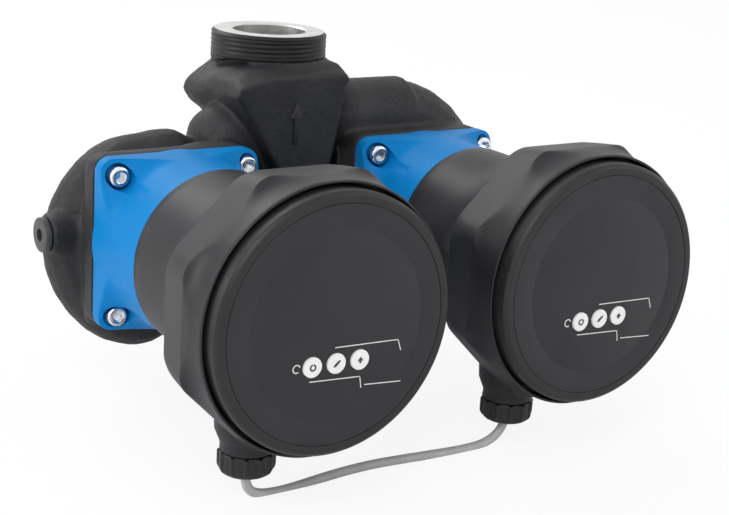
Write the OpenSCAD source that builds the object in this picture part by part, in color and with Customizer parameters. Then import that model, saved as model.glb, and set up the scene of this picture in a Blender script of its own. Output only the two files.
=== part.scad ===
/* [Ports] */
// Distance between the two port faces
port_height = 180; // [176:1:200]
// Outside diameter of the threaded port collars
port_thread_d = 59.6; // [57:0.1:61]
// Length of the threaded collars
port_collar_h = 13; // [11:0.5:16]
// Bore of the two ports
port_bore = 38; // [34:0.5:38]

/* [Pump body] */
// Distance between the two motor axes
head_pitch = 146; // [142:1:152]
// Wall of the casting
body_wall = 5; // [4:0.25:6]
// Front face of the casings, ahead of the port axis
casing_face = 39; // [38:0.5:43]
// Thickness of the square block that the motor bolts to
casing_block_t = 16; // [13:0.5:18]
// Bore of the discharge ducts
duct_bore = 30; // [27:0.5:30]
// Bore of the suction branches
branch_bore = 29; // [26:0.5:29]
// Distance of the suction branches behind the port axis
branch_back = 38; // [37:0.5:44]

/* [Changeover chamber] */
// Left corner of the chamber, beside the port axis
chamber_left_w = 38; // [37:0.5:41]
// Height of the left corner above the motor axes
chamber_left_z = 65; // [62:0.5:67]
// Right corner of the chamber, beside the port axis
chamber_right_w = 27; // [26:0.5:30]
// Height of the right corner above the motor axes
chamber_right_z = 73; // [70:0.5:75]
// Front to back depth of the chamber
chamber_depth = 60; // [56:1:64]
// Lean of the left seat from upright
left_lean = 33.5; // [32:0.5:35]
// Lean of the right seat from upright
right_lean = 11; // [10:0.5:13]
// Bore of the two seats
seat_bore = 28; // [24:0.5:28]
// Thickness of the flap
flap_t = 3; // [2:0.25:4]
// Diameter of the flap's pin
flap_pin_d = 5; // [4:0.25:6]

/* [Motor] */
// Side of the square mounting plate
flange_w = 84; // [83:0.5:88]
// Thickness of the mounting plate
flange_t = 6; // [5:0.5:8]
// Distance of the screws from the edges of the plate
screw_edge = 8; // [7:0.5:9]
// Thread diameter of the mounting screws
screw_d = 6; // [5:0.5:6]
// Outside diameter of the motor barrel
barrel_d = 85; // [84:0.5:88]
// Length of the barrel ahead of the mounting plate
barrel_len = 39; // [37:1:46]
// Outside diameter of the stator
stator_d = 75; // [73:0.5:77]
// Length of the stator core
stator_len = 24; // [18:1:26]
// Outside diameter of the rotor can
can_d = 38; // [36:0.5:40]
// Diameter of the rotor
rotor_d = 35; // [33:0.5:35]
// Diameter of the shaft
shaft_d = 8; // [6:0.5:9]
// Diameter of the impeller
impeller_d = 60; // [56:1:62]
// Number of impeller blades
blade_count = 6; // [4:1:8]

/* [Controller] */
// Diameter of the round neck behind the controller
skirt_d = 86; // [85:0.5:92]
// Length of that neck
skirt_len = 27; // [22:1:32]
// Width across the flats of the eight-sided shell
shell_w = 121; // [119:0.5:126]
// Length from the barrel to the front rim
shell_len = 97; // [92:1:104]
// Wall of the plastic shell
shell_wall = 2.5; // [2:0.25:3]
// Width of the groove between the rim and the front cover
groove_w = 1.6; // [1:0.1:2.4]
// How far the cover stands out of the rim
cover_proud = 7; // [5:0.5:9]
// Diameter of the buttons
button_d = 9; // [7:0.5:10]
// Distance between neighbouring buttons
button_pitch = 11.7; // [11.4:0.1:13]
// Drop of the button row below the motor axis
button_drop = 16; // [13:0.5:20]
// Travel of a button
button_travel = 0.6; // [0.4:0.1:0.8]

/* [Cable glands] */
// Diameter of the gland nuts
gland_nut_d = 26; // [24:0.5:28]
// Offset of the glands to the left of the motor axes
gland_side = 18; // [16:0.5:20]
// Distance of the glands ahead of the port axis
gland_front = 150; // [146:0.5:154]
// Diameter of the link cable
cable_d = 4.4; // [4:0.1:5]

/* [Hidden] */
$fn = 48;
overrun = 1;
axis_drop = 2.5;
axis_z = port_height / 2 - axis_drop;
half_pitch = head_pitch / 2;
sides = [-1, 1];
side_names = ["left", "right"];
quarter_steps = 6;

// Casing and waterways
duct_r = duct_bore / 2;
branch_r = branch_bore / 2;
thread_r = port_thread_d / 2;
port_r = port_bore / 2;
neck_r = port_r + body_wall;
collar_bevel = 1.5;
impeller_r = impeller_d / 2;
impeller_gap = 3;
chamber_r = impeller_r + impeller_gap;
casing_r = chamber_r + body_wall;
volute_plane = 8;
channel_overlap = 2;
channel_in_r = chamber_r - channel_overlap;
channel_start_r = 3;
channel_start_depth = 9;
growth_share = 0.6;
tongue_angle = 35;
ring_sides = 14;
ring_count = 26;
channel_step = 0.6;
channel_end_r = duct_r - channel_step;
duct_lap = 7;
discharge_offset = channel_in_r + duct_r;
eye_r = 18;
impeller_back = 0;
back_gap = 1;
chamber_back = impeller_back - back_gap;
casing_back = chamber_back - body_wall;
pilot_margin = 2;
pilot_r = flange_w / 2 - pilot_margin;
pilot_depth = 6;
pilot_floor = casing_face - pilot_depth;
block_corner_r = 7;
elbow_rise = 36;
elbow_back = 16;
neck_under = 8;
neck_h = elbow_rise - neck_under;
elbow_bulge = 2;
joint_bulge = 1;
elbow_turn = 90;
corner_turns = [135, 90];
screw_hole_depth = 14;
screw_r = screw_d / 2;
screw_spacing = flange_w - 2 * screw_edge;
head_r = screw_d * 5 / 6;
head_h = screw_d;
socket_across = screw_d * 5 / 6;
gasket_t = 1;
fit_gap = 0.2;
turns_of_side = [0, 90];

// Plugs in the casings
plug_thread_r = 6.5;
plug_head_r = 8.5;
plug_head_h = 3;
plug_ahead = 18;
plug_seat_gap = 0.3;
plug_boss_r = 9.5;
plug_boss_h = 0.4;
plug_socket = 6;
plug_socket_h = 2;

// Changeover chamber
chamber_top_z = 79;
chamber_floor_z = 2;
chamber_edge = 4;
chamber_arc_w = 30;
seat_wall = 10;
seat_r = seat_bore / 2;
seat_land = 3;
knuckle_wall = 2;
knuckle_gap = 0.5;
knuckle_r = flap_pin_d / 2 + knuckle_wall;
seat_up = 23;
seat_clear = 0.2;
pin_clear = 0.05;
inner_top_margin = 4;
inner_low = 10;
plate_offset = knuckle_r + knuckle_gap;
land_h = plate_offset - flap_t / 2 - seat_clear;
chamber_rear = volute_plane - chamber_depth / 2;
inner_corner_h = 4;
inner_corner_z = chamber_top_z - body_wall - inner_corner_h;
pin_boss_r = 9;
pin_boss_h = 7;
pin_plug_r = 5;
pin_plug_t = 5;
pin_socket = 5;
pin_socket_h = 3;
pin_blind = 3;

// Motor
barrel_r = barrel_d / 2;
flange_back = casing_face + gasket_t;
flange_front = flange_back + flange_t;
barrel_end = flange_front + barrel_len;
barrel_wall_end = 4;
flare_h = 17;
flare_reach = 20;
spot_gap = 1.2;
spot_r = head_r + spot_gap;
spot_edge = 0.6;
plate_t = 1.5;
can_wall = 0.8;
can_r = can_d / 2;
can_in_r = can_r - can_wall;
can_flange_front = pilot_floor + 2 * plate_t;
can_len = 33;
can_end = flange_front + can_len;
stator_r = stator_d / 2;
stator_gap = 0.4;
stator_in_r = can_r + stator_gap;
stator_back = flange_front;
yoke_t = 5.5;
tooth_count = 6;
tooth_w = 10;
shoe_t = 3;
slot_w = 3;
coil_w = 5;
coil_gap = 0.3;
rotor_r = rotor_d / 2;
shaft_r = shaft_d / 2;
bearing_wall = 3;
bearing_r = shaft_r + bearing_wall;
bearing_clear = 0.03;
bearing_len = 10;
bearing_behind = 7;
bearing_back = pilot_floor - bearing_behind;
bearing_hub_wall = 2;
rear_bearing_len = 6.5;
shaft_back = 4;
shaft_end_gap = 2;
shaft_end = can_end - shaft_end_gap;
vent_hole_r = 1.5;
vent_hole_ring = 16;

// Impeller
hub_wall = 4;
hub_r = shaft_r + hub_wall;
hub_front = 24;
shroud_t = 2;
eye_shroud_back = 6;
drive_shroud_back = 20;
neck_gap = 0.3;
neck_ring_wall = 3;
neck_ring_r = eye_r - neck_ring_wall;
impeller_neck_r = neck_ring_r - neck_gap;
impeller_neck_wall = 2;
blade_t = 2;
blade_root = 0.5;
blade_sweep = 50;
blade_steps = 7;

// Controller shell
skirt_r = skirt_d / 2;
shell_r = shell_w / 2;
shell_corner_r = 12;
corner_steps = 4;
shell_back = barrel_end;
skirt_end = shell_back + skirt_len;
shoulder_len = 34;
shell_front = shell_back + shell_len;
rim_depth = 16;
rim_band = 4;
rim_start = shell_front - rim_depth;
rim_end = shell_front - rim_band;
corner_reach = shell_r / cos(22.5);
floor_t = 3;
ledge_depth = 11;
ledge_t = 3;
ledge_w = 4.6;
rim_wall = 1.3;
rim_in_r = shell_r - rim_wall;
cover_r = rim_in_r - groove_w;
ledge_front = shell_front - ledge_depth;
ledge_in_r = rim_in_r - ledge_w;
seal_h = 2;
seal_edge = 0.3;
cover_back = ledge_front + seal_h;
cover_front = shell_front + cover_proud;
cover_t = 3;
cover_skirt_t = 2.6;
cover_bevel = 1.6;
face_margin = 5;
face_r = cover_r - face_margin;
face_t = 0.5;
face_recess = 0.6;
face_edge = 0.25;
button_r = button_d / 2;
button_gap = 0.3;
button_proud = 0.8;
collar_w = 1.1;
collar_t = 2.2;
collar_gap = 0.1;
stem_r = 1.5;
hook_count = 4;
hook_w = 10;
hook_t = 2;
hook_gap = 0.4;
hook_barb = 1.2;
hook_barb_h = 2.2;
hook_barb_gap = 0.3;

// Boards
board_t = 1.6;
switch_w = 6;
switch_h = 4.2;
key_board_h = 16;
key_board_margin = 10;
key_post_r = 2.5;
key_gap = 0.1;
key_board_depth = 13;
key_board_back = cover_front - cover_t - key_board_depth;
stem_len = cover_front - cover_t - collar_gap - collar_t - button_travel - key_gap
         - (key_board_back + board_t + switch_h);
power_board_edge = 8;
power_board_r = shell_r - shell_wall - power_board_edge;
power_board_gap = 2;
power_board_back = skirt_end + shoulder_len + power_board_gap;
post_r = 4;
post_gap = 0.4;
post_ring = skirt_r - shell_wall - post_r - post_gap;
capacitor_r = 9;
capacitor_h = 18;
capacitor_x = 22;
capacitor_y = 20;
choke_r = 11;
choke_hole_r = 5;
choke_h = 9;
choke_x = -20;
choke_y = 22;
module_w = 34;
module_d = 22;
module_h = 6;
module_x = -17;
module_y = -30;
socket_w = 24;
socket_d = 10;
socket_h = 12;
socket_x = 12;
socket_y = -38;

// Gland
boss_r = 12;
boss_top = 44;
boss_drop = 5.5;
boss_end = shell_r + boss_drop;
nipple_r = 9.6;
nipple_len = 6;
nipple_end = boss_end + nipple_len;
gland_wall = 2;
gland_bore_r = nipple_r - gland_wall;
cup_depth = 7;
cup_floor_r = 4;
nut_gap = 0.3;
nut_thread_gap = 0.2;
nut_len = 11;
nut_hex_h = 7;
nut_end = boss_end + nut_len;
nut_r = gland_nut_d / 2;
nut_rib_count = 12;
nut_rib_r = 1.2;
nut_nose_r = 7.5;
nut_wall_end = 3;
cable_r = cable_d / 2;
nut_hole_gap = 0.6;
seal_gap = 1.5;
seal_end = nut_end - nut_wall_end - seal_gap;

// Link cable: points that the cable passes through between the two glands, x and z,
// with the height counted from the motor axes
cable_sides = 8;
cable_steps = 3;
cable_route = [
    [-91, -72.5], [-91, -78.5], [-90.4, -83.2], [-88, -86.9], [-84.2, -88.9],
    [-79, -89.8], [-71, -90], [-61, -89.3], [-50, -88.2], [-37, -87.3],
    [-22, -87], [-6, -87.6], [10, -88.4], [22, -89], [32, -89.2],
    [40, -88.8], [46.4, -87.2], [51.4, -84], [54.2, -79.8], [55, -76], [55, -72.5]
];

// Places: a head's own frame has its axis along z, forward, with x to the right and y up

module at_axes() {
    translate([0, 0, axis_z]) rotate([90, 0, 0]) children();
}

module at_head(side) {
    translate([side * half_pitch, 0, 0]) at_axes() children();
}

// A round bar from one point to another

module rod(p, q, r) {
    way = q - p;
    translate(p)
        rotate([0, acos(way[2] / norm(way)), atan2(way[1], way[0])])
            cylinder(h = norm(way), r = r);
}

module round_square(w, r) {
    inset = w / 2 - r;
    square([w, 2 * inset], center = true);
    square([2 * inset, w], center = true);
    for (x = sides, y = sides) translate([x * inset, y * inset]) circle(r = r);
}

module tube(r, bore, h) {
    difference() {
        cylinder(h = h, r = r);
        translate([0, 0, -overrun]) cylinder(h = h + 2 * overrun, r = bore);
    }
}

module at_screws() {
    for (x = sides, y = sides) translate([x * screw_spacing / 2, y * screw_spacing / 2]) children();
}

// A skin through rings of points that all have the same number of points

module skin(rings) {
    count = len(rings[0]);
    last = len(rings) - 1;
    points = [for (ring = rings) each ring];
    walls = [
        for (j = [0:last - 1], i = [0:count - 1])
            let (a = j * count + i, b = j * count + (i + 1) % count)
                each [[a, a + count, b], [b, a + count, b + count]]
    ];
    caps = [
        [for (i = [0:count - 1]) i],
        [for (i = [0:count - 1]) last * count + count - 1 - i]
    ];
    polyhedron(points = points, faces = concat(walls, caps), convexity = 6);
}

// Spiral channel: g runs from 0 at the tongue to 1 where the duct leaves

function channel_radial(g) =
    channel_start_r + (channel_end_r - channel_start_r) * pow(g, growth_share);
function channel_axial(g) = channel_start_depth + (channel_end_r - channel_start_depth) * g;
function channel_turn(g) = tongue_angle + (360 - tongue_angle) * g;
function channel_reach(g, wall) = channel_in_r + 2 * channel_radial(g) + wall;
function channel_ring(g, wall) = [
    for (i = [0:ring_sides - 1])
        let (
            t = 360 * i / ring_sides,
            r = channel_in_r + channel_radial(g) + (channel_radial(g) + wall) * cos(t)
        )
            [
                r * cos(channel_turn(g)),
                r * sin(channel_turn(g)),
                volute_plane - (channel_axial(g) + wall) * sin(t)
            ]
];

module spiral(wall) {
    skin([for (j = [0:ring_count]) channel_ring(j / ring_count, wall)]);
}

// Changeover chamber, drawn as the motor axes see it from the front

function seat_dir(side) =
    side < 0 ? [-sin(left_lean), cos(left_lean)] : [sin(right_lean), cos(right_lean)];
function seat_out(side) =
    side < 0 ? [-cos(left_lean), -sin(left_lean)] : [cos(right_lean), -sin(right_lean)];
function facet_x(side, z) =
    side < 0 ? -chamber_left_w + (chamber_left_z - z) * tan(left_lean)
             : chamber_right_w - (chamber_right_z - z) * tan(right_lean);
half_lean = (left_lean + right_lean) / 2;
chamber_tilt = (left_lean - right_lean) / 2;
apex_z = chamber_left_z
       - (chamber_left_w + chamber_right_w - (chamber_right_z - chamber_left_z) * tan(right_lean))
         / (tan(left_lean) + tan(right_lean));
apex = [facet_x(-1, apex_z), apex_z];
pivot_rise = (seat_wall + plate_offset) / sin(half_lean);
pivot = apex + pivot_rise * [-sin(chamber_tilt), cos(chamber_tilt)];
riser_x = discharge_offset - half_pitch;

function seat_point(side, up, out) = pivot + up * seat_dir(side) + out * seat_out(side);
function seat_reach(side) =
    side < 0 ? (riser_x - seat_point(side, seat_up, 0)[0]) / seat_out(side)[0]
             : (discharge_offset - seat_point(side, seat_up, 0)[1]) / seat_out(side)[1];
function at_plane(p) = [p[0], p[1], volute_plane];
function duct_corner(side) = at_plane(seat_point(side, seat_up, seat_reach(side)));
function duct_start(side) =
    side < 0 ? [riser_x, -duct_lap, volute_plane]
             : [half_pitch + duct_lap, discharge_offset, volute_plane];
flap_reach = seat_up + seat_r + seat_land;

module chamber_outline() {
    polygon(concat(
        [
            [facet_x(-1, chamber_floor_z), chamber_floor_z],
            [facet_x(1, chamber_floor_z), chamber_floor_z],
            [chamber_right_w, chamber_right_z],
            [chamber_right_w, chamber_top_z - chamber_edge / 2],
            [chamber_right_w - chamber_edge / 2, chamber_top_z]
        ],
        [
            for (i = [0:quarter_steps])
                let (t = 90 * i / quarter_steps)
                    [
                        chamber_arc_w - chamber_left_w - chamber_arc_w * sin(t),
                        chamber_left_z + chamber_edge / 2
                            + (chamber_top_z - chamber_left_z - chamber_edge / 2) * cos(t)
                    ]
        ],
        [[-chamber_left_w, chamber_left_z]]
    ));
}

module chamber_inside() {
    left_top = seat_point(-1, flap_reach + inner_top_margin, plate_offset);
    right_top = seat_point(1, flap_reach, plate_offset);
    polygon([
        seat_point(-1, -inner_low, plate_offset),
        seat_point(1, -inner_low, plate_offset),
        right_top,
        [port_r, chamber_top_z - body_wall],
        [-port_r, chamber_top_z - body_wall],
        [left_top[0], inner_corner_z],
        left_top
    ]);
}

module seat_lands() {
    for (side = sides) {
        start = at_plane(seat_point(side, seat_up, plate_offset + overrun));
        end = at_plane(seat_point(side, seat_up, plate_offset - land_h));
        rod(start, end, seat_r + seat_land);
    }
}

// Suction side: the branches leave an elbow above the lower port and end behind each casing

elbow = [0, elbow_rise - axis_z, -elbow_back];
function branch_end(side) = [side * half_pitch, 0, -branch_back];

module suction(wall) {
    translate(elbow) rotate([0, 0, elbow_turn]) sphere(r = port_r + elbow_bulge + wall);
    for (side = sides) {
        rod(elbow, branch_end(side), branch_r + wall);
        translate(branch_end(side)) {
            rotate([0, 0, 90 - side * 90]) sphere(r = branch_r + joint_bulge + wall);
            cylinder(h = branch_back + casing_back + overrun, r = branch_r + wall);
        }
    }
}

module ducts(wall) {
    for (side = sides) {
        rod(duct_start(side), duct_corner(side), duct_r + wall);
        translate(duct_corner(side))
            rotate([0, 0, corner_turns[(side + 1) / 2]]) sphere(r = duct_r + joint_bulge + wall);
    }
}

module port_collars() {
    for (end = sides)
        translate([0, 0, end < 0 ? 0 : port_height])
            mirror([0, 0, end < 0 ? 0 : 1])
                union() {
                    translate([0, 0, collar_bevel])
                        cylinder(h = port_collar_h - collar_bevel, r = thread_r);
                    cylinder(h = collar_bevel, r1 = thread_r - collar_bevel, r2 = thread_r);
                    cylinder(h = neck_h, r = neck_r);
                }
}

module casing_outside(side) {
    translate([0, 0, casing_back]) cylinder(h = casing_face - casing_back, r = casing_r);
    translate([0, 0, casing_face - casing_block_t])
        linear_extrude(casing_block_t) round_square(flange_w, block_corner_r);
    rotate([0, 0, turns_of_side[(side + 1) / 2]]) spiral(body_wall);
}

module casing_inside(side) {
    translate([0, 0, chamber_back]) cylinder(h = pilot_floor - chamber_back + overrun, r = chamber_r);
    translate([0, 0, pilot_floor]) cylinder(h = pilot_depth + overrun, r = pilot_r);
    translate([0, 0, casing_back - overrun]) cylinder(h = body_wall + 2 * overrun, r = eye_r);
    rotate([0, 0, turns_of_side[(side + 1) / 2]]) spiral(0);
    at_screws() translate([0, 0, casing_face - screw_hole_depth])
        cylinder(h = screw_hole_depth + overrun, r = screw_r);
}

// Plug bosses on the outer side of each casing

plug_turns = [180, 270];
plug_turn_shares = [for (turn = plug_turns) (turn - tongue_angle) / (360 - tongue_angle)];
function plug_seat(side) = channel_reach(plug_turn_shares[(side + 1) / 2], body_wall) + plug_boss_h;

module at_plug(side) {
    at_head(side) translate([side * plug_seat(side), 0, plug_ahead]) rotate([0, side * 90, 0]) children();
}

module body_outside() {
    port_collars();
    at_axes() {
        translate([0, 0, chamber_rear]) linear_extrude(chamber_depth) chamber_outline();
        translate([pivot[0], pivot[1], chamber_rear - pin_boss_h])
            cylinder(h = pin_boss_h + overrun, r = pin_boss_r);
        suction(body_wall);
        ducts(body_wall);
    }
    for (side = sides) {
        at_head(side) casing_outside(side);
        at_plug(side) translate([0, 0, -2 * plug_boss_r]) cylinder(h = 2 * plug_boss_r, r = plug_boss_r);
    }
}

// The chamber's hollow, with the round seats left standing in it

module chamber_void() {
    difference() {
        translate([0, 0, chamber_rear + body_wall])
            linear_extrude(chamber_depth - 2 * body_wall) chamber_inside();
        seat_lands();
    }
}

module pump_body() {
    color([0.13, 0.13, 0.14])
    difference() {
        body_outside();
        translate([0, 0, axis_z + chamber_top_z - body_wall - overrun])
            cylinder(h = port_height, r = port_r);
        translate([0, 0, -overrun]) cylinder(h = neck_h + overrun, r = port_r);
        at_axes() {
            chamber_void();
            suction(0);
            ducts(0);
            for (side = sides)
                rod(duct_corner(side), at_plane(seat_point(side, seat_up, 0)), seat_r);
            translate([pivot[0], pivot[1], chamber_rear - overrun])
                cylinder(h = chamber_depth - body_wall + pin_blind + overrun, r = flap_pin_d / 2);
            translate([pivot[0], pivot[1], chamber_rear - pin_boss_h - overrun])
                cylinder(h = pin_boss_h + overrun, r = pin_plug_r);
        }
        for (side = sides) {
            at_head(side) casing_inside(side);
            at_plug(side) translate([0, 0, -2 * plug_boss_r])
                cylinder(h = 2 * plug_boss_r + overrun, r = plug_thread_r);
        }
    }
}

module changeover_flap() {
    width = 2 * (seat_r + seat_land);
    color("dimgray")
    at_axes() translate([pivot[0], pivot[1], volute_plane])
        rotate([0, 0, left_lean])
            difference() {
                union() {
                    translate([0, 0, -width / 2]) cylinder(h = width, r = knuckle_r);
                    rotate([0, 90, 0]) translate([0, 0, -flap_t / 2]) linear_extrude(flap_t) {
                        translate([-width / 2, 0]) square([width, seat_up]);
                        translate([0, seat_up]) circle(r = width / 2);
                    }
                }
                translate([0, 0, -width]) cylinder(h = 2 * width, r = flap_pin_d / 2 + pin_clear);
            }
}

module flap_pin() {
    color("silver")
    at_axes() translate([pivot[0], pivot[1], chamber_rear])
        cylinder(h = chamber_depth - body_wall + pin_blind, r = flap_pin_d / 2);
}

module flap_pin_plug() {
    color("silver")
    at_axes() translate([pivot[0], pivot[1], chamber_rear - pin_plug_t])
        difference() {
            cylinder(h = pin_plug_t, r = pin_plug_r);
            translate([0, 0, -overrun])
                cylinder(h = pin_socket_h + overrun, r = pin_socket / 2 / cos(30), $fn = 6);
        }
}

module casing_plugs() {
    color([0.13, 0.13, 0.14])
    for (side = sides)
        at_plug(side) difference() {
            union() {
                translate([0, 0, -plug_boss_h - body_wall])
                    cylinder(h = plug_boss_h + body_wall + plug_seat_gap, r = plug_thread_r);
                translate([0, 0, plug_seat_gap]) cylinder(h = plug_head_h, r = plug_head_r);
            }
            translate([0, 0, plug_seat_gap + plug_head_h - plug_socket_h])
                cylinder(h = plug_socket_h + overrun, r = plug_socket / 2 / cos(30), $fn = 6);
        }
}

// Motor parts

flare_points = [
    for (i = [0:quarter_steps])
        let (t = 90 * i / quarter_steps)
            [barrel_r + flare_reach * (1 - cos(t)), flange_front + flare_h * (1 - sin(t))]
];

module motor_housing() {
    color([0.05, 0.45, 0.78])
    difference() {
        union() {
            translate([0, 0, flange_back]) {
                linear_extrude(flange_t) round_square(flange_w, block_corner_r);
                cylinder(h = barrel_end - flange_back, r = barrel_r);
            }
            intersection() {
                translate([0, 0, flange_front])
                    linear_extrude(flare_h) round_square(flange_w, block_corner_r);
                rotate_extrude() polygon(concat(
                    [[barrel_r - overrun, flange_front]],
                    [[barrel_r - overrun, flange_front + flare_h]],
                    flare_points
                ));
            }
            translate([0, 0, can_flange_front])
                cylinder(h = flange_back - can_flange_front + overrun, r = pilot_r - fit_gap);
        }
        translate([0, 0, can_flange_front - overrun])
            cylinder(h = barrel_end - barrel_wall_end - can_flange_front + overrun, r = stator_r);
        at_screws() translate([0, 0, flange_back - overrun])
            cylinder(h = flange_t + 2 * overrun, r = screw_r + fit_gap);
        at_screws() translate([0, 0, flange_front]) cylinder(h = flare_h + overrun, r = spot_r);
    }
}

module flange_screws() {
    color("silver")
    at_screws() translate([0, 0, flange_front])
        difference() {
            union() {
                cylinder(h = head_h - spot_edge, r = head_r);
                translate([0, 0, head_h - spot_edge])
                    cylinder(h = spot_edge, r1 = head_r, r2 = head_r - spot_edge);
                translate([0, 0, casing_face - flange_front - screw_hole_depth + overrun])
                    cylinder(h = flange_front - casing_face + screw_hole_depth, r = screw_r);
            }
            translate([0, 0, head_h / 2])
                cylinder(h = head_h, r = socket_across / 2 / cos(30), $fn = 6);
        }
}

module flange_gasket() {
    color([0.1, 0.1, 0.1])
    translate([0, 0, casing_face]) linear_extrude(gasket_t) difference() {
        round_square(flange_w - 2 * spot_edge, block_corner_r);
        circle(r = pilot_r + fit_gap);
        at_screws() circle(r = screw_r + fit_gap);
    }
}

module bearing_plate() {
    hub = bearing_r + bearing_hub_wall;
    color("silver")
    difference() {
        union() {
            translate([0, 0, pilot_floor]) cylinder(h = plate_t, r = pilot_r - fit_gap);
            translate([0, 0, bearing_back]) cylinder(h = bearing_len, r = hub);
        }
        translate([0, 0, bearing_back - overrun]) cylinder(h = bearing_len + 2 * overrun, r = bearing_r);
        for (i = [0:2]) rotate([0, 0, 120 * i]) translate([vent_hole_ring, 0, pilot_floor - overrun])
            cylinder(h = plate_t + 2 * overrun, r = vent_hole_r);
    }
}

module front_bearing() {
    color([0.2, 0.2, 0.2])
    translate([0, 0, bearing_back]) tube(bearing_r, shaft_r + bearing_clear, bearing_len);
}

module rear_bearing() {
    color([0.2, 0.2, 0.2])
    translate([0, 0, can_end - can_wall - rear_bearing_len]) difference() {
        cylinder(h = rear_bearing_len, r = can_in_r);
        translate([0, 0, -overrun])
            cylinder(h = rear_bearing_len + 2 * overrun, r = shaft_r + bearing_clear);
        for (i = [0:2]) rotate([0, 0, 120 * i]) translate([(shaft_r + can_in_r) / 2, 0, -overrun])
            cylinder(h = rear_bearing_len + 2 * overrun, r = vent_hole_r);
    }
}

module neck_ring() {
    color("goldenrod")
    translate([0, 0, casing_back]) tube(eye_r, neck_ring_r, body_wall);
}

module rotor_can() {
    color("silver")
    difference() {
        union() {
            translate([0, 0, pilot_floor + plate_t]) {
                cylinder(h = plate_t, r = pilot_r - fit_gap);
                cylinder(h = can_end - pilot_floor - plate_t, r = can_r);
            }
        }
        translate([0, 0, pilot_floor + plate_t - overrun])
            cylinder(h = can_end - can_wall - pilot_floor - plate_t + overrun, r = can_in_r);
    }
}

module stator_core() {
    color([0.45, 0.45, 0.48])
    translate([0, 0, stator_back]) difference() {
        union() {
            tube(stator_r, stator_r - yoke_t, stator_len);
            intersection() {
                tube(stator_r - yoke_t / 2, stator_in_r, stator_len);
                for (i = [0:tooth_count - 1]) rotate([0, 0, 360 / tooth_count * i])
                    translate([stator_in_r - overrun, -tooth_w / 2, 0])
                        cube([stator_r - stator_in_r, tooth_w, stator_len]);
            }
            tube(stator_in_r + shoe_t, stator_in_r, stator_len);
        }
        for (i = [0:tooth_count - 1]) rotate([0, 0, 360 / tooth_count * (i + 1 / 2)])
            translate([stator_in_r - overrun, -slot_w / 2, -overrun])
                cube([shoe_t + 2 * overrun, slot_w, stator_len + 2 * overrun]);
    }
}

module stator_coils() {
    start = stator_in_r + shoe_t + coil_gap;
    inner_w = tooth_w + 2 * coil_gap;
    inner_h = stator_len + 2 * coil_gap;
    side_reach = inner_w / 2 + coil_w;
    yoke_in_r = stator_r - yoke_t - coil_gap;
    depth = sqrt(yoke_in_r * yoke_in_r - side_reach * side_reach) - start;
    color([0.72, 0.4, 0.18])
    translate([0, 0, stator_back + stator_len / 2])
        for (i = [0:tooth_count - 1]) rotate([0, 0, 360 / tooth_count * i])
            translate([start + depth / 2, 0, 0]) difference() {
                cube([depth, inner_w + 2 * coil_w, inner_h + 2 * coil_w], center = true);
                cube([depth + 2 * overrun, inner_w, inner_h], center = true);
            }
}

module rotor_shaft() {
    color("silver")
    translate([0, 0, shaft_back]) cylinder(h = shaft_end - shaft_back, r = shaft_r);
}

module rotor() {
    color([0.35, 0.35, 0.37])
    translate([0, 0, stator_back]) tube(rotor_r, shaft_r, stator_len);
}

// Impeller

function blade_point(i, edge) =
    let (
        share = i / blade_steps,
        r = hub_r - blade_root + (impeller_r - hub_r) * share,
        turn = -blade_sweep * share + edge * blade_t / 2 / r * 180 / PI
    )
        [r * cos(turn), r * sin(turn)];

module blade() {
    polygon(concat(
        [for (i = [0:blade_steps]) blade_point(i, 1)],
        [for (i = [blade_steps:-1:0]) blade_point(i, -1)]
    ));
}

module impeller() {
    color([0.85, 0.82, 0.7])
    difference() {
        union() {
            translate([0, 0, shaft_back]) cylinder(h = hub_front - shaft_back, r = hub_r);
            translate([0, 0, drive_shroud_back]) cylinder(h = shroud_t, r = impeller_r);
            translate([0, 0, eye_shroud_back])
                tube(impeller_r, impeller_neck_r - impeller_neck_wall, shroud_t);
            translate([0, 0, casing_back]) tube(
                impeller_neck_r,
                impeller_neck_r - impeller_neck_wall,
                eye_shroud_back + shroud_t - casing_back
            );
            translate([0, 0, eye_shroud_back + shroud_t / 2])
                linear_extrude(drive_shroud_back - eye_shroud_back)
                    for (i = [0:blade_count - 1]) rotate([0, 0, 360 / blade_count * i]) blade();
        }
        translate([0, 0, shaft_back - overrun]) cylinder(h = hub_front, r = shaft_r);
    }
}

// Controller shell: an eight-sided prism with round corners, cut to a turned outline

module shell_octagon(grow) {
    centre_r = (shell_r + grow - shell_corner_r) / cos(22.5);
    polygon([
        for (i = [0:7], j = [0:corner_steps])
            let (at = 22.5 + 45 * i, off = at - 22.5 + 45 * j / corner_steps)
                centre_r * [cos(at), sin(at)] + shell_corner_r * [cos(off), sin(off)]
    ]);
}

function shoulder_points(inset, reach) = [
    for (i = [0:quarter_steps])
        let (t = 90 * i / quarter_steps)
            [
                skirt_r - inset + (reach - skirt_r) * (1 - cos(t)),
                skirt_end + shoulder_len * sin(t)
            ]
];
function rim_points(inset) = [
    for (i = [0:quarter_steps])
        let (t = 90 * i / quarter_steps)
            [
                shell_r - inset + (corner_reach - shell_r) * (1 - sin(t)),
                rim_start + (rim_end - rim_start) * (1 - cos(t))
            ]
];

module shell_body(inset, back, front) {
    intersection() {
        translate([0, 0, back]) linear_extrude(front - back) shell_octagon(-inset);
        rotate_extrude() polygon(concat(
            [[0, back], [skirt_r - inset, back]],
            shoulder_points(inset, corner_reach),
            rim_points(inset),
            [[shell_r - inset, front], [0, front]]
        ));
    }
}

module at_gland() {
    translate([-gland_side, 0, gland_front]) rotate([90, 0, 0]) children();
}

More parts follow.
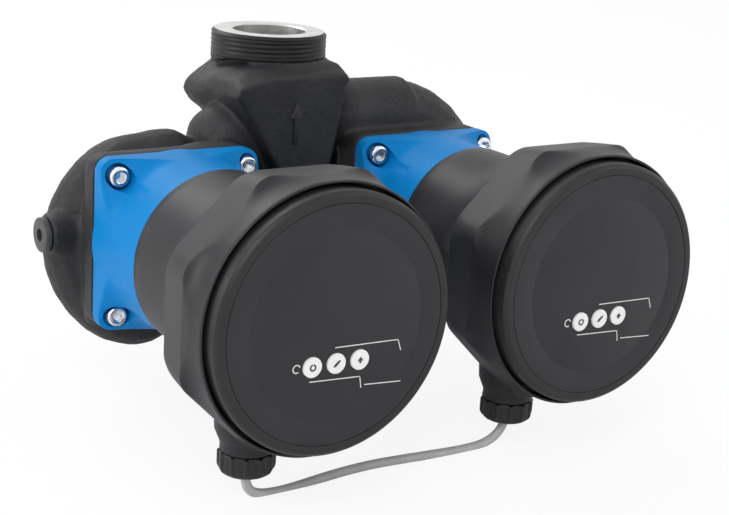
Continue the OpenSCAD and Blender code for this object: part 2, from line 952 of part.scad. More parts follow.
module controller_housing() {
    color([0.09, 0.09, 0.1])
    difference() {
        union() {
            difference() {
                union() {
                    shell_body(0, shell_back, shell_front);
                    at_gland() {
                        translate([0, 0, boss_top]) cylinder(h = boss_end - boss_top, r = boss_r);
                        cylinder(h = nipple_end, r = nipple_r);
                    }
                }
                shell_body(shell_wall, shell_back + floor_t, ledge_front - ledge_t);
            }
            for (i = [0:3]) rotate([0, 0, 45 + 90 * i]) translate([post_ring, 0, shell_back + overrun])
                cylinder(h = power_board_back - shell_back - overrun, r = post_r);
        }
        translate([0, 0, ledge_front - ledge_t - overrun])
            cylinder(h = shell_len, r = ledge_in_r);
        translate([0, 0, ledge_front]) cylinder(h = shell_len, r = rim_in_r);
        at_gland() {
            cylinder(h = nipple_end + overrun, r = cup_floor_r);
            translate([0, 0, nipple_end - cup_depth]) cylinder(h = cup_depth + overrun, r = gland_bore_r);
        }
    }
}

module cover_seal() {
    color([0.2, 0.2, 0.2])
    translate([0, 0, ledge_front])
        tube(cover_r - seal_edge, cover_r - cover_skirt_t + seal_edge, seal_h);
}

module at_buttons() {
    for (i = [-1:1]) translate([i * button_pitch, -button_drop, 0]) children();
}

module front_cover() {
    inside_h = cover_front - cover_t - cover_back;
    hook_r = ledge_in_r - hook_gap;
    hook_end = ledge_front - ledge_t - hook_barb_gap;
    post_x = button_pitch + switch_w + key_post_r;
    color([0.1, 0.1, 0.11])
    union() {
        difference() {
            union() {
                translate([0, 0, cover_back])
                    cylinder(h = cover_front - cover_bevel - cover_back, r = cover_r);
                translate([0, 0, cover_front - cover_bevel])
                    cylinder(h = cover_bevel, r1 = cover_r, r2 = cover_r - cover_bevel);
            }
            translate([0, 0, cover_back - overrun])
                cylinder(h = inside_h + overrun, r = cover_r - cover_skirt_t);
            translate([0, 0, cover_front - face_recess]) cylinder(h = face_recess + overrun, r = face_r);
            at_buttons() translate([0, 0, cover_back]) cylinder(h = shell_len, r = button_r + button_gap);
        }
        for (i = [0:hook_count - 1]) rotate([0, 0, 360 / hook_count * (i + 1 / 2)])
            intersection() {
                translate([0, -hook_w / 2, hook_end - hook_barb_h])
                    cube([cover_r, hook_w, cover_front - cover_t - hook_end + hook_barb_h + overrun / 2]);
                union() {
                    translate([0, 0, hook_end - hook_barb_h])
                        tube(hook_r, hook_r - hook_t, cover_front - hook_end);
                    translate([0, 0, hook_end - hook_barb_h])
                        tube(hook_r + hook_barb, hook_r - hook_t, hook_barb_h);
                }
            }
        for (side = sides) translate([side * post_x, -button_drop, key_board_back + board_t])
            cylinder(h = cover_front - cover_t - key_board_back - board_t + overrun / 2, r = key_post_r);
    }
}

module face_panel() {
    color([0.12, 0.12, 0.13])
    translate([0, 0, cover_front - face_recess]) difference() {
        cylinder(h = face_t, r = face_r - face_edge);
        at_buttons() translate([0, 0, -overrun])
            cylinder(h = face_t + 2 * overrun, r = button_r + button_gap);
    }
}

module button(number) {
    collar_front = cover_front - cover_t - collar_gap;
    color("white")
    translate([(number - 2) * button_pitch, -button_drop, 0]) {
        translate([0, 0, collar_front - collar_t / 2])
            cylinder(h = cover_front + button_proud - collar_front + collar_t / 2, r = button_r);
        translate([0, 0, collar_front - collar_t]) cylinder(h = collar_t, r = button_r + collar_w);
        translate([0, 0, collar_front - collar_t - stem_len])
            cylinder(h = stem_len + collar_t / 2, r = stem_r);
    }
}

module key_board() {
    length = 2 * (button_pitch + key_board_margin);
    color([0.1, 0.3, 0.16])
    union() {
        translate([-length / 2, -button_drop - key_board_h / 2, key_board_back])
            cube([length, key_board_h, board_t]);
        at_buttons() translate([-switch_w / 2, -switch_w / 2, key_board_back + board_t / 2])
            cube([switch_w, switch_w, switch_h - overrun + board_t / 2]);
        at_buttons() translate([0, 0, key_board_back + board_t])
            cylinder(h = switch_h, r = stem_r);
    }
}

module power_board() {
    top = board_t / 2;
    color([0.1, 0.3, 0.16])
    translate([0, 0, power_board_back]) difference() {
        union() {
            cylinder(h = board_t, r = power_board_r);
            translate([capacitor_x, capacitor_y, top]) cylinder(h = capacitor_h, r = capacitor_r);
            translate([choke_x, choke_y, top]) cylinder(h = choke_h, r = choke_r);
            translate([module_x, module_y, top]) cube([module_w, module_d, module_h]);
            translate([socket_x, socket_y, top]) cube([socket_w, socket_d, socket_h]);
        }
        translate([choke_x, choke_y, board_t]) cylinder(h = choke_h + overrun, r = choke_hole_r);
    }
}

// Gland parts: z runs down, out of the housing

module gland_seal() {
    color([0.25, 0.25, 0.26])
    at_gland() translate([0, 0, nipple_end - cup_depth])
        tube(gland_bore_r - fit_gap, cable_r + fit_gap / 2, seal_end - nipple_end + cup_depth);
}

module gland_nut() {
    start = boss_end + nut_gap;
    color([0.1, 0.1, 0.11])
    at_gland() difference() {
        union() {
            translate([0, 0, start]) cylinder(h = nut_hex_h, r = nut_r - nut_rib_r / 2);
            for (i = [0:nut_rib_count - 1]) rotate([0, 0, 360 / nut_rib_count * i])
                translate([nut_r - nut_rib_r, 0, start]) cylinder(h = nut_hex_h, r = nut_rib_r);
            translate([0, 0, start + nut_hex_h])
                cylinder(h = nut_end - start - nut_hex_h, r1 = nut_r - nut_rib_r / 2, r2 = nut_nose_r);
        }
        translate([0, 0, start - overrun])
            cylinder(h = nipple_end - start + 2 * overrun, r = nipple_r + nut_thread_gap);
        translate([0, 0, start]) cylinder(h = seal_end - start + nut_gap, r = gland_bore_r);
        translate([0, 0, start]) cylinder(h = nut_end, r = cable_r + nut_hole_gap);
    }
}

// Link cable: a round tube swept along a smooth curve through the route's points

function between(a, b, c, d, t) =
    (2 * b + (c - a) * t + (2 * a - 5 * b + 4 * c - d) * t * t + (3 * b - a - 3 * c + d) * t * t * t) / 2;
function route_at(i) = cable_route[max(0, min(len(cable_route) - 1, i))];
cable_line = concat(
    [
        for (i = [0:len(cable_route) - 2], j = [0:cable_steps - 1])
            between(route_at(i - 1), route_at(i), route_at(i + 1), route_at(i + 2), j / cable_steps)
    ],
    [cable_route[len(cable_route) - 1]]
);
function cable_way(i) =
    i == 0 || i == len(cable_line) - 1
        ? [0, i == 0 ? -1 : 1]
        : let (way = cable_line[i + 1] - cable_line[i - 1]) way / norm(way);
function cable_ring(i) =
    let (p = cable_line[i], way = cable_way(i))
        [
            for (k = [0:cable_sides - 1])
                let (t = 360 * (k + 1 / 2) / cable_sides)
                    [
                        p[0] - way[1] * cable_r * cos(t),
                        p[1] + way[0] * cable_r * cos(t),
                        gland_front + cable_r * sin(t)
                    ]
        ];

module link_cable() {
    color("lightgray")
    at_axes() skin([for (i = [0:len(cable_line) - 1]) cable_ring(i)]);
}

module head_part(side, part) {
    at_head(side) children();
}

pump_body();
changeover_flap();
flap_pin();
flap_pin_plug();
casing_plugs();
link_cable();
for (side = sides) {
    head_part(side, "motor_housing") motor_housing();
    head_part(side, "flange_screws") flange_screws();
    head_part(side, "flange_gasket") flange_gasket();
    head_part(side, "bearing_plate") bearing_plate();
    head_part(side, "front_bearing") front_bearing();
    head_part(side, "rear_bearing") rear_bearing();
    head_part(side, "neck_ring") neck_ring();
    head_part(side, "rotor_can") rotor_can();
    head_part(side, "stator_core") stator_core();
    head_part(side, "stator_coils") stator_coils();
    head_part(side, "rotor_shaft") rotor_shaft();
    head_part(side, "rotor") rotor();
    head_part(side, "impeller") impeller();
    head_part(side, "controller_housing") controller_housing();
    head_part(side, "power_board") power_board();
    head_part(side, "key_board") key_board();
    head_part(side, "cover_seal") cover_seal();
    head_part(side, "front_cover") front_cover();
    head_part(side, "face_panel") face_panel();
    for (i = [1:3]) head_part(side, str("button_", i)) button(i);
    head_part(side, "gland_seal") gland_seal();
    head_part(side, "gland_nut") gland_nut();
}
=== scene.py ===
import bpy
import bmesh
import math
import numpy as np
from mathutils import Matrix, Vector, noise


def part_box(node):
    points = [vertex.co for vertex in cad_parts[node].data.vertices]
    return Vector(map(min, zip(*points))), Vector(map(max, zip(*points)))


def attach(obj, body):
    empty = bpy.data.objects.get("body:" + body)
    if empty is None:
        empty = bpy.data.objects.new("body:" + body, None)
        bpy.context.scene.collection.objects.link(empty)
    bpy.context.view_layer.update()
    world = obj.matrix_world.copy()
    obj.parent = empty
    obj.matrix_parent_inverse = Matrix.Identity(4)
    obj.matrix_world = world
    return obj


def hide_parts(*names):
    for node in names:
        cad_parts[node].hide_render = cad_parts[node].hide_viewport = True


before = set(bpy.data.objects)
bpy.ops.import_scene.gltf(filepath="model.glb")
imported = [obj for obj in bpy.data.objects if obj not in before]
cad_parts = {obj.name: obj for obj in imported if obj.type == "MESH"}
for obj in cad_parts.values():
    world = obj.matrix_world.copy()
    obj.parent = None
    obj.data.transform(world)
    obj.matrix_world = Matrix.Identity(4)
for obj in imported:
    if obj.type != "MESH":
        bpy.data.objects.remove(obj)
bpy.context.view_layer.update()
print("frame loaded")

mm = 0.001
portHeight = 180.0  # from the lower port face to the upper one
axisHeight = 87.5  # both motor axes above the lower port face
halfPitch = 73.0  # from the port axis out to each motor axis
headSides = {"left": -1, "right": 1}
plateCorners = [(x, y) for x in (-1, 1) for y in (-1, 1)]
fullTurn = 2 * math.pi


def addObject(name, data):
    made = bpy.data.objects.new(name, data)
    bpy.context.scene.collection.objects.link(made)
    return made


# camera at the photo's angle

cameraView = {
    "place": (-410.64, -689.79, 294.23),
    "right": (0.82956, -0.55487, 0.06276),
    "down": (-0.10601, -0.26685, -0.95789),
    "forward": (0.54826, 0.78798, -0.28019),
    "focalPixels": 1548.79,
    "frameWidth": 729,
    "sensorWidth": 36.0,
    "clip": (0.02, 20),
}


def addCamera(view):
    data = bpy.data.cameras.new("photoCamera")
    data.sensor_width = view["sensorWidth"]
    data.lens = view["focalPixels"] * view["sensorWidth"] / view["frameWidth"]
    data.clip_start, data.clip_end = view["clip"]
    camera = addObject("photoCamera", data)
    right, up, back = Vector(view["right"]), -Vector(view["down"]), -Vector(view["forward"])
    turned = Matrix((right, up, back)).transposed().to_4x4()
    camera.matrix_world = Matrix.Translation(Vector(view["place"]) * mm) @ turned
    bpy.context.scene.camera = camera


addCamera(cameraView)
print("camera placed")


# materials

noiseSpread = (0.3, 0.7)  # nearly all of a noise texture's values lie in here
patchDetail = 2.0
grainRoughness = 0.6
plainShine = 0.5


def newMaterial(name):
    material = bpy.data.materials.new(name)
    material.use_nodes = True
    tree = material.node_tree
    tree.nodes.clear()
    output = tree.nodes.new("ShaderNodeOutputMaterial")
    shader = tree.nodes.new("ShaderNodeBsdfPrincipled")
    tree.links.new(shader.outputs["BSDF"], output.inputs["Surface"])
    return material, tree, shader


def objectNoise(tree, scale, detail, roughness=0.5):
    coords = tree.nodes.new("ShaderNodeTexCoord")
    texture = tree.nodes.new("ShaderNodeTexNoise")
    texture.inputs["Scale"].default_value = scale
    texture.inputs["Detail"].default_value = detail
    texture.inputs["Roughness"].default_value = roughness
    tree.links.new(coords.outputs["Object"], texture.inputs["Vector"])
    return texture.outputs["Fac"]


def mapRange(tree, source, low, high):
    node = tree.nodes.new("ShaderNodeMapRange")
    for socket, value in zip(("From Min", "From Max", "To Min", "To Max"), (*noiseSpread, low, high)):
        node.inputs[socket].default_value = value
    tree.links.new(source, node.inputs["Value"])
    return node.outputs["Result"]


def mixColours(tree, factor, first, second):
    node = tree.nodes.new("ShaderNodeMix")
    node.data_type = "RGBA"
    tree.links.new(factor, node.inputs["Factor"])
    for socket, colour in zip((node.inputs[6], node.inputs[7]), (first, second)):  # the two colour inputs
        socket.default_value = (*colour, 1)
    return node.outputs[2]


def addBump(tree, shader, height, strength, distance):
    bump = tree.nodes.new("ShaderNodeBump")
    bump.inputs["Strength"].default_value = strength
    bump.inputs["Distance"].default_value = distance
    tree.links.new(height, bump.inputs["Height"])
    tree.links.new(bump.outputs["Normal"], shader.inputs["Normal"])


# one entry per finish: two colours it varies between, roughness range, and its grain
finishes = {
    "castCoat": dict(colours=((0.01, 0.01, 0.0115), (0.018, 0.018, 0.0205)), rough=(0.5, 0.7),
                     shine=0.36, patch=90, grain=620, bump=0.55, depth=0.00035, detail=5),
    "threadCoat": dict(colours=((0.006, 0.006, 0.007), (0.01, 0.01, 0.011)), rough=(0.36, 0.5),
                       shine=0.25, patch=120, grain=900, bump=0.2, depth=0.0001, detail=3),
    "machinedIron": dict(colours=((0.55, 0.55, 0.54), (0.7, 0.7, 0.69)), rough=(0.26, 0.4), metal=1,
                         patch=160, grain=1500, bump=0.15, depth=0.00005, detail=3),
    "bluePaint": dict(colours=((0.0, 0.175, 0.47), (0.0, 0.19, 0.51)), rough=(0.42, 0.5),
                      shine=0.1, patch=60, grain=480, bump=0.06, depth=0.0001, detail=2),
    "zincSteel": dict(colours=((0.66, 0.68, 0.7), (0.82, 0.84, 0.86)), rough=(0.18, 0.32), metal=1,
                      patch=300, grain=2200, bump=0.1, depth=0.00003, detail=3),
    "drawnSteel": dict(colours=((0.5, 0.5, 0.51), (0.62, 0.62, 0.63)), rough=(0.2, 0.34), metal=1,
                       patch=200, grain=1800, bump=0.1, depth=0.00003, detail=3),
    "plugPaint": dict(colours=((0.035, 0.035, 0.038), (0.046, 0.046, 0.05)), rough=(0.42, 0.55),
                      shine=0.4, patch=200, grain=900, bump=0.2, depth=0.0001, detail=3),
    "shellPlastic": dict(colours=((0.0125, 0.0125, 0.0145), (0.0155, 0.0155, 0.018)), rough=(0.42, 0.5),
                         shine=0.3, patch=70, grain=1700, bump=0.16, depth=0.00008, detail=2),
    "coverPlastic": dict(colours=((0.014, 0.014, 0.0155), (0.017, 0.017, 0.019)), rough=(0.4, 0.48),
                         shine=0.3, patch=70, grain=1700, bump=0.12, depth=0.00006, detail=2),
    "facePanelFoil": dict(colours=((0.0165, 0.0165, 0.0195), (0.02, 0.02, 0.023)), rough=(0.44, 0.52),
                          shine=0.3, patch=50, grain=2600, bump=0.08, depth=0.00004, detail=2),
    "printWhite": dict(colours=((0.62, 0.62, 0.62), (0.72, 0.72, 0.72)), rough=(0.5, 0.6),
                       patch=600, grain=3000, bump=0.05, depth=0.00002, detail=2),
    "printDark": dict(colours=((0.03, 0.03, 0.032), (0.05, 0.05, 0.052)), rough=(0.5, 0.6),
                      patch=600, grain=3000, bump=0.05, depth=0.00002, detail=2),
    "buttonWhite": dict(colours=((0.74, 0.74, 0.73), (0.8, 0.8, 0.79)), rough=(0.34, 0.42),
                        patch=300, grain=2400, bump=0.06, depth=0.00003, detail=2),
    "nutPlastic": dict(colours=((0.009, 0.009, 0.01), (0.013, 0.013, 0.0145)), rough=(0.36, 0.46),
                       shine=0.35, patch=200, grain=1600, bump=0.16, depth=0.00008, detail=2),
    "sealRubber": dict(colours=((0.03, 0.03, 0.031), (0.042, 0.042, 0.043)), rough=(0.6, 0.75),
                       patch=300, grain=1500, bump=0.2, depth=0.00008, detail=3),
    "cableSheath": dict(colours=((0.42, 0.42, 0.43), (0.49, 0.49, 0.5)), rough=(0.42, 0.55),
                        patch=120, grain=1300, bump=0.12, depth=0.00006, detail=3),
    "bearingCarbon": dict(colours=((0.03, 0.03, 0.032), (0.055, 0.055, 0.058)), rough=(0.4, 0.6),
                          patch=300, grain=1800, bump=0.15, depth=0.00005, detail=4),
    "turnedBronze": dict(colours=((0.52, 0.34, 0.14), (0.66, 0.46, 0.22)), rough=(0.22, 0.36), metal=1,
                         patch=200, grain=1600, bump=0.1, depth=0.00004, detail=3),
    "lamination": dict(colours=((0.28, 0.28, 0.3), (0.42, 0.42, 0.44)), rough=(0.3, 0.5), metal=1,
                       patch=400, grain=1200, bump=0.3, depth=0.0001, detail=3),
    "enamelledCopper": dict(colours=((0.42, 0.13, 0.04), (0.62, 0.24, 0.08)), rough=(0.25, 0.4), metal=1,
                            patch=900, grain=1500, bump=0.4, depth=0.0001, detail=2),
    "rotorSleeve": dict(colours=((0.35, 0.35, 0.36), (0.46, 0.46, 0.47)), rough=(0.2, 0.35), metal=1,
                        patch=200, grain=1600, bump=0.1, depth=0.00004, detail=3),
    "impellerComposite": dict(colours=((0.6, 0.56, 0.42), (0.7, 0.66, 0.5)), rough=(0.35, 0.5),
                              patch=200, grain=1500, bump=0.12, depth=0.00005, detail=3),
    "boardLacquer": dict(colours=((0.01, 0.09, 0.035), (0.02, 0.14, 0.06)), rough=(0.25, 0.4),
                         patch=700, grain=1700, bump=0.2, depth=0.00006, detail=2),
    "flapRubber": dict(colours=((0.02, 0.02, 0.021), (0.035, 0.035, 0.036)), rough=(0.55, 0.7),
                       patch=200, grain=1400, bump=0.2, depth=0.00007, detail=3),
}


def makeFinish(name, finish):
    material, tree, shader = newMaterial(name)
    patches = objectNoise(tree, finish["patch"], patchDetail)
    grain = objectNoise(tree, finish["grain"], finish["detail"], grainRoughness)
    colour = mixColours(tree, mapRange(tree, patches, 0, 1), *finish["colours"])
    tree.links.new(colour, shader.inputs["Base Color"])
    tree.links.new(mapRange(tree, grain, *finish["rough"]), shader.inputs["Roughness"])
    shader.inputs["Metallic"].default_value = finish.get("metal", 0)
    shader.inputs["Specular IOR Level"].default_value = finish.get("shine", plainShine)
    addBump(tree, shader, grain, finish["bump"], finish["depth"])
    return material


look = {name: makeFinish(name, finish) for name, finish in finishes.items()}
print("finishes made")


# mesh helpers: a head is drawn in millimetres in its own frame, z forward along the motor axis

def headPoint(side):
    def place(p):
        return (side * halfPitch + p[0]) * mm, -p[2] * mm, (axisHeight + p[1]) * mm
    return place


def portPoint(height, way):  # z goes into the port
    def place(p):
        return p[0] * mm, way * p[1] * mm, (height + way * p[2]) * mm
    return place


def smoothShade(mesh, crease):
    work = bmesh.new()
    work.from_mesh(mesh)
    bmesh.ops.recalc_face_normals(work, faces=work.faces)
    limit = math.radians(crease)
    for face in work.faces:
        face.smooth = True
    for edge in work.edges:
        edge.smooth = len(edge.link_faces) == 2 and edge.calc_face_angle(0) < limit
    work.to_mesh(mesh)
    work.free()
    mesh.update()


def dressPiece(piece, finish, body, replaced=()):
    piece.data.materials.clear()
    piece.data.materials.append(look[finish])
    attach(piece, body)
    if replaced:
        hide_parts(*replaced)


def makePiece(name, shape, finish, body, replaced=(), crease=35):
    verts, faces = shape
    mesh = bpy.data.meshes.new(name)
    mesh.from_pydata(verts, [], faces)
    piece = addObject(name, mesh)
    smoothShade(mesh, crease)
    dressPiece(piece, finish, body, replaced)
    return piece


def polar(r, angle, z, centre=(0, 0)):
    return centre[0] + r * math.cos(angle), centre[1] + r * math.sin(angle), z


def turnAngles(columns):
    return [fullTurn * i / columns for i in range(columns)]


def stepsIn(radius, level, steps):  # rounded edge: how far in from the radius, how far below the level
    return [(radius - draw, level - drop) for draw, drop in steps]


def turnedRings(profile, columns, place, radiusAt=None):
    return [
        [place(polar(radiusAt(angle, r, z) if radiusAt else r, angle, z)) for angle in turnAngles(columns)]
        for r, z in profile
    ]


def ringGrid(rings):
    count = len(rings[0])
    verts = [p for ring in rings for p in ring]
    faces = []
    for j in range(len(rings) - 1):
        for i in range(count):
            a, b = j * count + i, j * count + (i + 1) % count
            faces.append((a, b, b + count, a + count))
    last = (len(rings) - 1) * count
    faces.append(tuple(reversed(range(count))))
    faces.append(tuple(range(last, last + count)))
    return verts, faces


def turnedLoop(profile, columns, place, radiusAt=None):  # closed section, such as a collar or a nut
    verts = [p for ring in turnedRings(profile, columns, place, radiusAt) for p in ring]
    faces = []
    for j in range(len(profile)):
        row, nextRow = j * columns, (j + 1) % len(profile) * columns
        for i in range(columns):
            k = (i + 1) % columns
            faces.append((row + i, row + k, nextRow + k, nextRow + i))
    return verts, faces


def joinShapes(shapes):
    verts, faces = [], []
    for moreVerts, moreFaces in shapes:
        start = len(verts)
        verts += moreVerts
        faces += [tuple(i + start for i in face) for face in moreFaces]
    return verts, faces


def hexReach(angle, across):
    turn = (angle + math.pi / 6) % (math.pi / 3) - math.pi / 6
    return across / 2 / math.cos(turn)


def hexRing(place, columns, across, level, grow=0, turn=0):
    return [
        place(polar(hexReach(angle, across) + grow, angle + turn, level))
        for angle in turnAngles(columns)
    ]


def softLess(a, b, blend):
    spread = max(blend - abs(a - b), 0) / blend
    return min(a, b) - spread * spread * blend / 4


def softMore(a, b, blend):
    return -softLess(-a, -b, blend)


def roundFall(part):  # quarter circle, from 0 at 0 to 1 at 1
    return 1 - math.sqrt(max(0, 1 - min(part, 1) ** 2))


def rodTool(place, centre, r, low, high, columns=48, crease=30):
    rings = [[place(polar(r, angle, z, centre)) for angle in turnAngles(columns)] for z in (low, high)]
    verts, faces = ringGrid(rings)
    mesh = bpy.data.meshes.new("cutter")
    mesh.from_pydata(verts, [], faces)
    smoothShade(mesh, crease)
    return addObject("cutter", mesh)


def cutWith(piece, tools, crease):
    for number, tool in enumerate(tools):
        step = piece.modifiers.new(f"cut{number}", "BOOLEAN")
        step.operation = "DIFFERENCE"
        step.solver = "EXACT"
        step.object = tool
    bpy.context.view_layer.update()
    ready = piece.evaluated_get(bpy.context.evaluated_depsgraph_get())
    mesh = bpy.data.meshes.new_from_object(ready)
    piece.modifiers.clear()
    old = piece.data
    piece.data = mesh
    bpy.data.meshes.remove(old)
    for tool in tools:
        bpy.data.objects.remove(tool)
    smoothShade(mesh, crease)


# link cable: the route that the part's source gives, smoothed between its points

cable = {
    "diameter": 4.4,
    "front": 150.0,
    "steps": 8,
    "roundness": 5,
    "route": [
        (-91, -72.5), (-91, -78.5), (-90.4, -83.2), (-88, -86.9), (-84.2, -88.9), (-79, -89.8), (-71, -90),
        (-61, -89.3), (-50, -88.2), (-37, -87.3), (-22, -87), (-6, -87.6), (10, -88.4), (22, -89),
        (32, -89.2), (40, -88.8), (46.4, -87.2), (51.4, -84), (54.2, -79.8), (55, -76), (55, -72.5),
    ],
}


def smoothRoute(points, steps):
    def at(i):
        return points[max(0, min(len(points) - 1, i))]
    line = []
    for i in range(len(points) - 1):
        a, b, c, d = at(i - 1), at(i), at(i + 1), at(i + 2)
        for j in range(steps):
            t = j / steps
            line.append(tuple(
                (2 * b[k] + (c[k] - a[k]) * t + (2 * a[k] - 5 * b[k] + 4 * c[k] - d[k]) * t * t
                 + (3 * b[k] - a[k] - 3 * c[k] + d[k]) * t ** 3) / 2
                for k in range(2)
            ))
    return line + [points[-1]]


def makeCable():
    line = smoothRoute(cable["route"], cable["steps"])
    places = [(x * mm, -cable["front"] * mm, (axisHeight + z) * mm) for x, z in line]
    curve = bpy.data.curves.new("linkCable", "CURVE")
    curve.dimensions = "3D"
    curve.bevel_depth = cable["diameter"] / 2 * mm
    curve.bevel_resolution = cable["roundness"]
    curve.use_fill_caps = True
    spline = curve.splines.new("POLY")
    spline.points.add(len(places) - 1)
    for point, place in zip(spline.points, places):
        point.co = (*place, 1)
    spline.use_smooth = True
    piece = addObject("linkCable", curve)
    dressPiece(piece, "cableSheath", "fixed", ["link_cable"])
    length = sum(math.dist(a, b) for a, b in zip(places, places[1:]))
    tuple(places[0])
    print("link cable laid, length in mm:", round(length / mm, 1))


makeCable()


# cast body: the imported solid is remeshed, its corners rounded off as in a sand mould, then given its skin
# lengths in metres; the x, y and z of a fall run from none of it to all of it, z above the motor axes

casting = {
    "voxel": 0.0010,
    "rounds": 12,
    "pull": 0.5,
    "skinHeight": 0.00012,
    "skinScale": 420,
    "skinGrain": (0.8, 2.1, 3),
    "gasketFace": -0.0388,
    "collars": {
        "height": 0.0132, "outerFrom": 0.0252, "outerMost": 0.0288, "innerTo": 0.0205, "innerAt": 0.0196,
        "faceDrop": 0.0007, "squash": 0.9, "leastRadius": 1e-6,
    },
    "volute": {
        "drop": 0.0060, "draw": 0.0030, "x": (-0.052, -0.080), "y": (-0.031, -0.023), "z": (0.075, 0.06),
        "drawX": (-0.085, -0.12), "plugSide": -0.105, "plugAhead": 0.018, "plugFade": (0.0105, 0.018),
    },
    "corner": {"drop": 0.006, "x": (-0.012, -0.034), "y": (-0.012, 0.014), "z": (0.045, 0.062)},
    "brow": {"drop": 0.004, "half": 0.05, "y": (-0.027, -0.037), "z": (0.068, 0.077)},
}


def remeshed(source, voxel):
    copy = source.copy()
    copy.data = source.data.copy()
    copy.parent = None
    for key in list(copy.keys()):
        del copy[key]
    bpy.context.scene.collection.objects.link(copy)
    step = copy.modifiers.new("evenFaces", "REMESH")
    step.mode = "VOXEL"
    step.voxel_size = voxel
    ready = copy.evaluated_get(bpy.context.evaluated_depsgraph_get())
    mesh = bpy.data.meshes.new_from_object(ready)
    bpy.data.objects.remove(copy)
    return mesh


def meshArrays(mesh):
    points = np.empty(len(mesh.vertices) * 3)
    mesh.vertices.foreach_get("co", points)
    edges = np.empty(len(mesh.edges) * 2, dtype=np.int64)
    mesh.edges.foreach_get("vertices", edges)
    return points.reshape(-1, 3), edges.reshape(-1, 2)


def relax(points, edges, freedom, rounds, pull):
    a, b = edges[:, 0], edges[:, 1]
    count = len(points)
    links = np.bincount(a, minlength=count) + np.bincount(b, minlength=count)
    for _ in range(rounds):
        total = np.zeros_like(points)
        for k in range(3):
            total[:, k] = (np.bincount(a, points[b, k], minlength=count)
                           + np.bincount(b, points[a, k], minlength=count))
        points = points + (total / np.maximum(links, 1)[:, None] - points) * (pull * freedom)[:, None]
    return points


def ease(values, start, end):
    part = np.clip((values - start) / (end - start), 0, 1)
    return part * part * (3 - 2 * part)


def fallShare(at, fall):
    return np.prod([ease(at[way], *fall[way]) for way in "xyz" if way in fall], axis=0)


def shapeCasting(points):  # the left spiral sits low, the chamber's rear corner and front edge fall away
    volute, corner, brow = casting["volute"], casting["corner"], casting["brow"]
    at = {"x": points[:, 0].copy(), "y": points[:, 1].copy(), "z": points[:, 2] - axisHeight * mm}
    plugGap = np.where(at["x"] < volute["plugSide"], np.hypot(at["y"] + volute["plugAhead"], at["z"]), 1.0)
    part = fallShare(at, volute) * ease(plugGap, *volute["plugFade"])
    points[:, 2] -= part * volute["drop"]
    points[:, 0] += part * volute["draw"] * ease(at["x"], *volute["drawX"])
    points[:, 2] -= fallShare(at, corner) * corner["drop"]
    points[:, 2] -= fallShare(at, brow) * (np.abs(at["x"]) < brow["half"]) * brow["drop"]


def sinkCollars(points):  # both collars draw back inside the threaded rings that are put over them
    c = casting["collars"]
    span = portHeight * mm
    fromAxis = np.hypot(points[:, 0], points[:, 1])
    safeRadius = np.maximum(fromAxis, c["leastRadius"])
    for low in (True, False):
        depth = points[:, 2] if low else span - points[:, 2]
        near = depth < c["height"]
        shrink = np.where(near & (fromAxis > c["outerFrom"]), np.minimum(1, c["outerMost"] / safeRadius), 1)
        shrink = np.where(near & (fromAxis < c["innerTo"]), c["innerAt"] / safeRadius, shrink)
        points[:, 0] *= shrink
        points[:, 1] *= shrink
        depth = np.where(near, c["faceDrop"] + depth * c["squash"], depth)
        points[:, 2] = depth if low else span - depth


def makeCasting():
    c = casting
    mesh = remeshed(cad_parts["pump_body"], c["voxel"])
    points, edges = meshArrays(mesh)
    freedom = np.where(points[:, 1] < c["gasketFace"], 0.0, 1.0)  # the machined flange faces stay flat
    shapeCasting(points)
    points = relax(points, edges, freedom, c["rounds"], c["pull"])
    sinkCollars(points)
    mesh.vertices.foreach_set("co", points.ravel())
    mesh.update()
    normals = np.empty(len(points) * 3)
    mesh.vertices.foreach_get("normal", normals)
    lift = np.array([noise.fractal(Vector(p) * c["skinScale"], *c["skinGrain"]) for p in points])
    points += normals.reshape(-1, 3) * (lift * c["skinHeight"] * freedom)[:, None]
    mesh.vertices.foreach_set("co", points.ravel())
    for face in mesh.polygons:
        face.use_smooth = True
    mesh.update()
    dressPiece(addObject("castBody", mesh), "castCoat", "fixed", ["pump_body"])
    print("cast body made, faces:", len(mesh.polygons))


makeCasting()


# threaded collars, with the machined end face and the mouth of the bore

collar = {
    "threadRadius": 29.8, "height": 13.0, "bevel": 1.5, "pitch": 2.309, "threadDepth": 0.28,
    "runIn": 0.8, "runOut": 1.5, "rowStep": 0.19, "edge": 0.2, "faceGap": 0.06,
    "neckRadius": 23.4, "wall": 2.2, "wallTop": 1.2, "footEdge": 0.5, "footThick": 1.0,
    "boreRadius": 19.0, "faceThick": 1.4, "mouthDepth": 13.5, "mouthWall": 0.3, "mouthBevel": 0.6,
    "columns": 144, "crease": 50,
}


